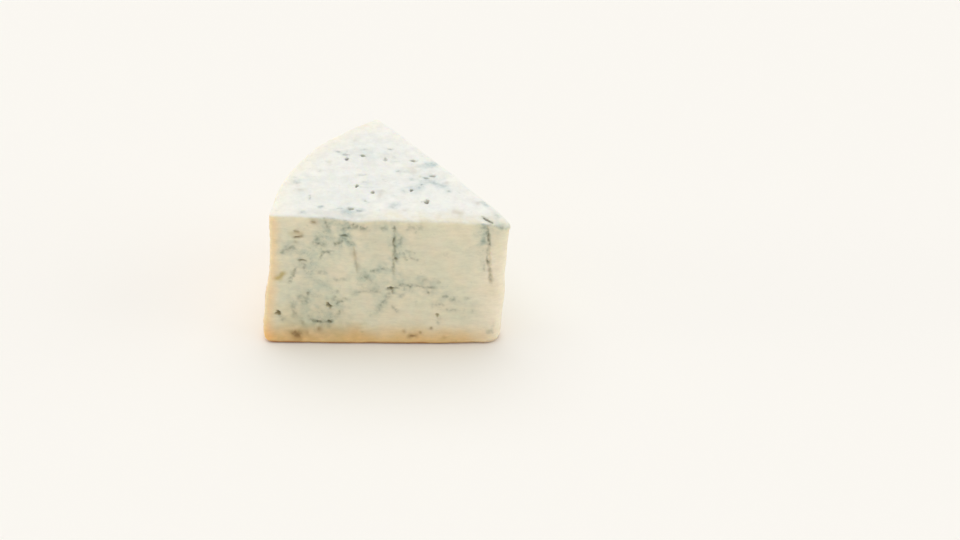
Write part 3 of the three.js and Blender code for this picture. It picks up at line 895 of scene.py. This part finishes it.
def cheese_mesh():
    points, faces = sharp_wedge()
    for _ in range(REFINING_ROUNDS):
        points, faces = refine(points, faces)
    points, outward = draw_onto_wedge(points)
    relief, paint = dress(points, outward)
    points = sag(points + relief[:, None] * outward)
    return points, faces, paint


def shift_to_frame(points):
    """Shift, in millimetres, from the wheel's axes to the part's frame."""
    low, high = (np.array(corner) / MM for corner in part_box("cheese"))
    shift = (low + high - points.min(axis=0) - points.max(axis=0)) / 2
    shift[2] = low[2]
    return shift


def make_cheese():
    """The cheese, and the shift that brought it from the wheel's axes into the part's frame."""
    points, faces, paint = cheese_mesh()
    shift = shift_to_frame(points)
    points = points + shift
    points[:, 2] = np.maximum(points[:, 2], 0)
    mesh = bpy.data.meshes.new("blue_cheese")
    mesh.from_pydata((points * MM).tolist(), [], faces.tolist())
    mesh.polygons.foreach_set("use_smooth", np.ones(len(faces), dtype=bool))
    for name, values in paint.items():
        layer = mesh.attributes.new(name, "FLOAT", "POINT")
        layer.data.foreach_set("value", values.astype(np.float32))
    mesh.validate()
    piece = bpy.data.objects.new("blue_cheese", mesh)
    bpy.context.scene.collection.objects.link(piece)
    return piece, shift


# ---------------------------------------------------------------- materials
def linear(r, g, b):
    """A colour given as it looks on a screen, 0 to 255, as Blender's linear light."""
    shares = (r / 255, g / 255, b / 255)
    return tuple(c / 12.92 if c <= 0.04045 else ((c + 0.055) / 1.055) ** 2.4 for c in shares) + (1,)


# Paste: cream, warmer towards the rind. The top cut is painted whiter than the upright cuts as light from
# above, and the upright cuts yellower as warm bounce light
PASTE = linear(244, 235, 208)
PASTE_CLOUDS = linear(238, 234, 208)
# Towards the rind the paste is warmer; on the upright cuts this is also a painted glow of light through the
# rind's edge
PASTE_RIM = linear(255, 228, 184)
# Paler paste at the thin tip: a painted glow of light coming through it
PASTE_TIP_GLOW = linear(254, 243, 219)
LIT_TOP_PASTE = linear(247, 246, 239)
LIT_TOP_CLOUDS = linear(242, 243, 237)
TOP_RIM = linear(252, 246, 230)
TOP_CREAM = linear(236, 231, 212)
# Tints, which multiply what they are laid on
SMEAR_TINT = linear(232, 231, 230)
FOOT_RIND_AND_BOUNCE_TINT = linear(254, 218, 164)
OCHRE_TINT = linear(222, 206, 160)
# Painted contact shadow along the base, where the wedge meets the floor
BASE_CONTACT_SHADOW = linear(166, 112, 68)
HAZE_TINT = linear(202, 219, 225)
VEIN_TINT = linear(141, 152, 143)
STRAY_TINT = linear(190, 200, 192)
STAIN_TINT = linear(170, 146, 108)
# Insides of pockets and needle paths, on the upright cuts and on the top: their mould and painted shade
POCKET_MOULD_AND_SHADE = linear(172, 160, 122)
TOP_POCKET_MOULD_AND_SHADE = linear(150, 152, 140)
# Rind: pale peach, with clouds of grey-white bloom and spots of mould
CRUST = linear(244, 224, 190)
CRUST_CLOUDS = linear(233, 203, 163)
CRUST_BLUSH = linear(222, 184, 142)
CRUST_CREASE = linear(206, 168, 124)
CRUST_PITS = linear(184, 146, 104)
CRUST_BLOOM = linear(244, 238, 224)
CRUST_SPOTS = linear(172, 176, 158)
FLOOR = linear(250, 247, 242)

PASTE_ROUGHNESS = 0.52
RIND_ROUGHNESS = 0.78
FLOOR_ROUGHNESS = 0.8
CHEESE_SPECULAR = 0.4
SUBSURFACE_WEIGHT = 0.45
SUBSURFACE_RADIUS = (1.0, 0.75, 0.45)
SUBSURFACE_SCALE = 6 * MM

# The Mix node's sockets for colours, which share their names with those for numbers and vectors
MIX_A = 6
MIX_B = 7
MIX_RESULT = 2


class Shader:
    """Builds a material's node tree, one node a call."""

    def __init__(self, name):
        self.material = bpy.data.materials.new(name)
        self.material.use_nodes = True
        self.tree = self.material.node_tree
        self.surface = self.tree.nodes["Principled BSDF"]
        self.place = self.node("ShaderNodeTexCoord").outputs["Object"]

    def node(self, kind, **settings):
        made = self.tree.nodes.new(kind)
        for name, value in settings.items():
            setattr(made, name, value)
        return made

    def feed(self, socket, value):
        if isinstance(value, bpy.types.NodeSocket):
            self.tree.links.new(value, socket)
        else:
            socket.default_value = value

    def attribute(self, name):
        return self.node("ShaderNodeAttribute", attribute_name=name).outputs["Fac"]

    def noise(self, size_mm, detail=3.0, roughness=0.55, stretch=(1, 1, 1)):
        mapping = self.node("ShaderNodeMapping")
        self.feed(mapping.inputs["Vector"], self.place)
        mapping.inputs["Scale"].default_value = stretch
        made = self.node("ShaderNodeTexNoise")
        self.feed(made.inputs["Vector"], mapping.outputs["Vector"])
        made.inputs["Scale"].default_value = 1 / (size_mm * MM)
        made.inputs["Detail"].default_value = detail
        made.inputs["Roughness"].default_value = roughness
        return made.outputs["Fac"]

    def math(self, operation, a, b=0.0, clamp=False):
        made = self.node("ShaderNodeMath", operation=operation, use_clamp=clamp)
        for socket, value in zip(made.inputs, (a, b)):
            self.feed(socket, value)
        return made.outputs["Value"]

    def times(self, a, b, clamp=False):
        return self.math("MULTIPLY", a, b, clamp)

    def spread(self, value, low, high, to_low=0.0, to_high=1.0):
        """Brings a value between low and high to between to_low and to_high, with soft ends."""
        made = self.node("ShaderNodeMapRange", interpolation_type="SMOOTHSTEP")
        given = {"Value": value, "From Min": low, "From Max": high, "To Min": to_low, "To Max": to_high}
        for name, setting in given.items():
            self.feed(made.inputs[name], setting)
        return made.outputs["Result"]

    def patches(self, size_mm, low, high, to_low=0.0, to_high=1.0, **texture):
        """Soft patches where the noise of a size is between low and high."""
        return self.spread(self.noise(size_mm, **texture), low, high, to_low, to_high)

    def mix(self, factor, a, b, blend="MIX"):
        made = self.node("ShaderNodeMix", data_type="RGBA", blend_type=blend)
        self.feed(made.inputs["Factor"], factor)
        self.feed(made.inputs[MIX_A], a)
        self.feed(made.inputs[MIX_B], b)
        return made.outputs[MIX_RESULT]

    def tint(self, factor, colour, by):
        return self.mix(factor, colour, by, "MULTIPLY")

    def bump(self, height, distance_mm, strength, below=None):
        made = self.node("ShaderNodeBump")
        made.inputs["Strength"].default_value = strength
        made.inputs["Distance"].default_value = distance_mm * MM
        self.feed(made.inputs["Height"], height)
        if below is not None:
            self.feed(made.inputs["Normal"], below)
        return made.outputs["Normal"]


def paste_colour(s, top):
    """The paste before any mould, smeared a little by the knife, with its ochre and with painted light and
    shade: a whiter top, a glow at the tip, warm bounce light at the foot and a contact shadow at the base.
    """
    edge = s.attribute("edge")
    paste = s.mix(s.patches(14, 0.35, 0.65), PASTE, PASTE_CLOUDS)
    # Warmer towards the rind, with a painted glow of light at the rind's edge
    paste = s.mix(s.spread(edge, 0.44, 0.94, 0.0, 0.9), paste, PASTE_RIM)
    # Painted glow at the thin tip
    paste = s.mix(s.times(s.attribute("tip"), 0.9), paste, PASTE_TIP_GLOW)
    lit_top_paste = s.mix(s.patches(16, 0.35, 0.65), LIT_TOP_PASTE, LIT_TOP_CLOUDS)
    lit_top_paste = s.mix(s.spread(edge, 0.06, 0.94, 0.0, 0.65), lit_top_paste, TOP_RIM)
    cream = s.times(s.attribute("cream"), s.patches(6, 0.38, 0.62, 0.45, 1.0))
    lit_top_paste = s.mix(cream, lit_top_paste, TOP_CREAM)
    # The top cut whiter than the upright cuts: painted light from above on the top, painted warm bounce
    # light on the cuts
    colour = s.mix(top, paste, lit_top_paste)
    smear = s.patches(2.4, 0.3, 0.7, 0.0, 0.5, detail=5, roughness=0.7, stretch=(0.35, 0.35, 1))
    colour = s.tint(smear, colour, SMEAR_TINT)
    # Warm foot, partly the rind's colour and partly painted bounce light and shade
    colour = s.tint(s.times(s.attribute("foot"), 0.9), colour, FOOT_RIND_AND_BOUNCE_TINT)
    colour = s.tint(s.attribute("ochre"), colour, OCHRE_TINT)
    # Painted contact shadow at the base
    return s.tint(s.attribute("base"), colour, BASE_CONTACT_SHADOW)


def with_mould(s, colour, top, rind):
    """Mould laid over a colour, with the stains and the dark insides of the pockets, which are partly mould
    and partly painted shade.
    """
    # Haze: cloudy, with fine dark threads where it is dense
    haze, fleck = s.attribute("haze"), s.noise(1.7, roughness=0.6)
    hazy = s.times(haze, s.patches(4.5, 0.3, 0.62, 0.65, 1.25, detail=4, roughness=0.5), clamp=True)
    colour = s.tint(hazy, colour, HAZE_TINT)
    off_middle = s.math("ABSOLUTE", s.math("SUBTRACT", s.noise(3.6, roughness=0.6), 0.5))
    thread = s.times(s.spread(off_middle, 0.0, 0.035, 1.0, 0.0), s.spread(haze, 0.15, 0.55))
    thread = s.times(thread, s.spread(fleck, 0.38, 0.62, 0.0, 0.3))

    # Veins: slate where they are dense, broken into flecks
    veiny = s.times(s.attribute("vein"), s.spread(fleck, 0.34, 0.6, 0.45, 1.0))
    veiny = s.math("MAXIMUM", veiny, thread, clamp=True)
    colour = s.tint(veiny, colour, VEIN_TINT)
    off_rind = s.math("SUBTRACT", 0.35, rind, clamp=True)
    stray = s.times(s.patches(5.5, 0.6, 0.8, detail=4, roughness=0.62), off_rind)
    colour = s.tint(stray, colour, STRAY_TINT)

    colour = s.tint(s.attribute("stain"), colour, STAIN_TINT)
    return s.tint(s.attribute("dark"), colour, s.mix(top, POCKET_MOULD_AND_SHADE, TOP_POCKET_MOULD_AND_SHADE))


def crust_colour(s):
    """The rind: a little darker in its creases and pits, and clouded with bloom and mould."""
    crust = s.mix(s.patches(26, 0.36, 0.64, roughness=0.5), CRUST, CRUST_CLOUDS)
    blush = s.patches(9, 0.42, 0.7, 0.0, 0.55, detail=4, roughness=0.6, stretch=(0.6, 0.6, 1))
    crust = s.mix(blush, crust, CRUST_BLUSH)
    crust = s.mix(s.times(s.attribute("crease"), 0.3), crust, CRUST_CREASE)

    pits = s.patches(2.6, 0.54, 0.7, detail=4, roughness=0.6)
    pits = s.times(pits, s.patches(11, 0.35, 0.65, detail=2))
    crust = s.mix(s.times(pits, 0.5), crust, CRUST_PITS)

    bloom = s.patches(14, 0.42, 0.66, detail=4)
    bloom = s.times(bloom, s.patches(3.2, 0.3, 0.62, detail=4, roughness=0.6))
    crust = s.mix(s.times(bloom, 0.75), crust, CRUST_BLOOM)

    spots = s.patches(17, 0.5, 0.66, detail=2)
    spots = s.times(spots, s.patches(2.8, 0.48, 0.68, detail=4, roughness=0.65))
    return s.mix(s.times(spots, 0.5), crust, CRUST_SPOTS)


def cheese_material():
    s = Shader("blue_cheese")
    rind, top = s.attribute("rind"), s.attribute("top")
    colour = with_mould(s, paste_colour(s, top), top, rind)
    s.feed(s.surface.inputs["Base Color"], s.mix(rind, colour, crust_colour(s)))
    s.feed(s.surface.inputs["Roughness"], s.spread(rind, 0, 1, PASTE_ROUGHNESS, RIND_ROUGHNESS))
    s.surface.inputs["Specular IOR Level"].default_value = CHEESE_SPECULAR
    s.surface.inputs["Subsurface Weight"].default_value = SUBSURFACE_WEIGHT
    s.surface.inputs["Subsurface Radius"].default_value = SUBSURFACE_RADIUS
    s.surface.inputs["Subsurface Scale"].default_value = SUBSURFACE_SCALE
    fine_grain = s.bump(s.noise(0.9, detail=4, roughness=0.6), 0.12, 0.6)
    grain = s.bump(s.noise(2.2, detail=4, roughness=0.6), 0.25, 0.5, below=fine_grain)
    s.feed(s.surface.inputs["Normal"], grain)
    return s.material


def floor_material():
    s = Shader("floor")
    s.surface.inputs["Base Color"].default_value = FLOOR
    s.surface.inputs["Roughness"].default_value = FLOOR_ROUGHNESS
    return s.material


# ---------------------------------------------------------------- the stage
CAMERA_PITCH = math.radians(32.68)
CAMERA_YAW = math.radians(1.83)
CAMERA_DISTANCE = 2435.17
CAMERA_TARGET = (-24.3, 80.2, 0.0)  # in the wheel's axes
LENS = 150.0
SENSOR_WIDTH = 36.0
CLIP_END_M = 100.0  # past the floor's far edge
FLOOR_HALF_M = 20.0

SKY_COLOUR = (1.0, 0.99, 0.97, 1)
SKY_STRENGTH = 0.61
# Soft suns: name, the way the light goes, strength, spread in degrees, and colour
SUNS = [
    ("overhead", (0.15, -0.35, -1), 1.15, 70, (0.97, 0.99, 1.0)),
    ("beside", (-1, 0, -0.3), 0.5, 50, (1.0, 0.98, 0.94)),
    ("far side", (1, 0.02, 0), 0.9, 30, (1.0, 0.95, 0.87)),
]


def make_floor():
    mesh = bpy.data.meshes.new("floor")
    corners = [(x * FLOOR_HALF_M, y * FLOOR_HALF_M, 0) for x, y in ((-1, -1), (1, -1), (1, 1), (-1, 1))]
    mesh.from_pydata(corners, [], [(0, 1, 2, 3)])
    floor = bpy.data.objects.new("floor", mesh)
    floor.data.materials.append(floor_material())
    bpy.context.scene.collection.objects.link(floor)


def make_camera(shift):
    target = (np.array(CAMERA_TARGET) + shift) * MM
    away = np.array([math.sin(CAMERA_YAW), -math.cos(CAMERA_YAW), 0]) * math.cos(CAMERA_PITCH)
    away[2] = math.sin(CAMERA_PITCH)
    data = bpy.data.cameras.new("camera")
    data.lens, data.sensor_width = LENS, SENSOR_WIDTH
    data.clip_end = CLIP_END_M
    camera = bpy.data.objects.new("camera", data)
    camera.location = target + away * CAMERA_DISTANCE * MM
    camera.rotation_euler = Vector(-away).to_track_quat("-Z", "Y").to_euler()
    bpy.context.scene.collection.objects.link(camera)
    bpy.context.scene.camera = camera


def make_sun(name, towards, strength, spread_degrees, colour):
    data = bpy.data.lights.new(name, "SUN")
    data.energy, data.angle, data.color = strength, math.radians(spread_degrees), colour
    light = bpy.data.objects.new(name, data)
    light.rotation_euler = Vector(towards).to_track_quat("-Z", "Y").to_euler()
    bpy.context.scene.collection.objects.link(light)


def make_light():
    world = bpy.data.worlds.new("studio")
    world.use_nodes = True
    background = world.node_tree.nodes["Background"]
    background.inputs["Color"].default_value = SKY_COLOUR
    background.inputs["Strength"].default_value = SKY_STRENGTH
    bpy.context.scene.world = world
    for sun in SUNS:
        make_sun(*sun)
    bpy.context.scene.view_settings.view_transform = "Standard"


# ---------------------------------------------------------------- the scene
cheese, wheel_to_frame = make_cheese()
cheese.data.materials.append(cheese_material())
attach(cheese, "root")
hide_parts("cheese")
make_floor()
make_camera(wheel_to_frame)
make_light()
